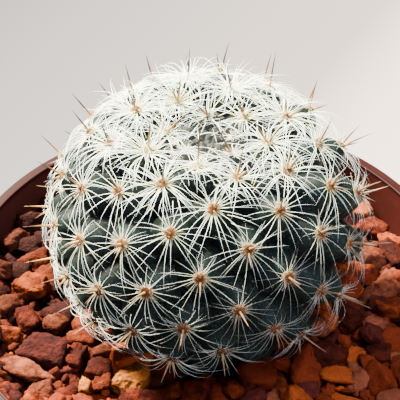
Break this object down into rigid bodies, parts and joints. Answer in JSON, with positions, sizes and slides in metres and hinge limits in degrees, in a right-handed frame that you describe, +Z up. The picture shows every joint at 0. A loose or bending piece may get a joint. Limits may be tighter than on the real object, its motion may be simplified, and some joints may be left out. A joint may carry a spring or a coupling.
{
  "type": "potted mammillaria",
  "caption": "Globe-shaped spiny cactus with a sunken crown, standing in coarse red grit in a round tapered plastic pot with a plain collar.",
  "frame": {"origin": "middle of the pot's underside, on the surface that it stands on", "axes": "+Z up along the pot's axis; -Y towards the side that the picture shows"},
  "size_m": [0.09, 0.09, 0.1181],
  "materials": {
    "pot_plastic": "satin injection-moulded polypropylene, terracotta brown",
    "potting_mix": "matte, loose, dark and fibrous potting mix",
    "red_grit": "matte crushed red and orange stone, with paler and darker grains among it",
    "cactus": "waxy blue-green skin under white radial spines, with amber centrals tipped brown"
  },
  "bodies": {
    "root": {"pot": "pot_plastic", "soil": "potting_mix", "grit": "red_grit", "cactus": "cactus"}
  },
  "joints": []
}
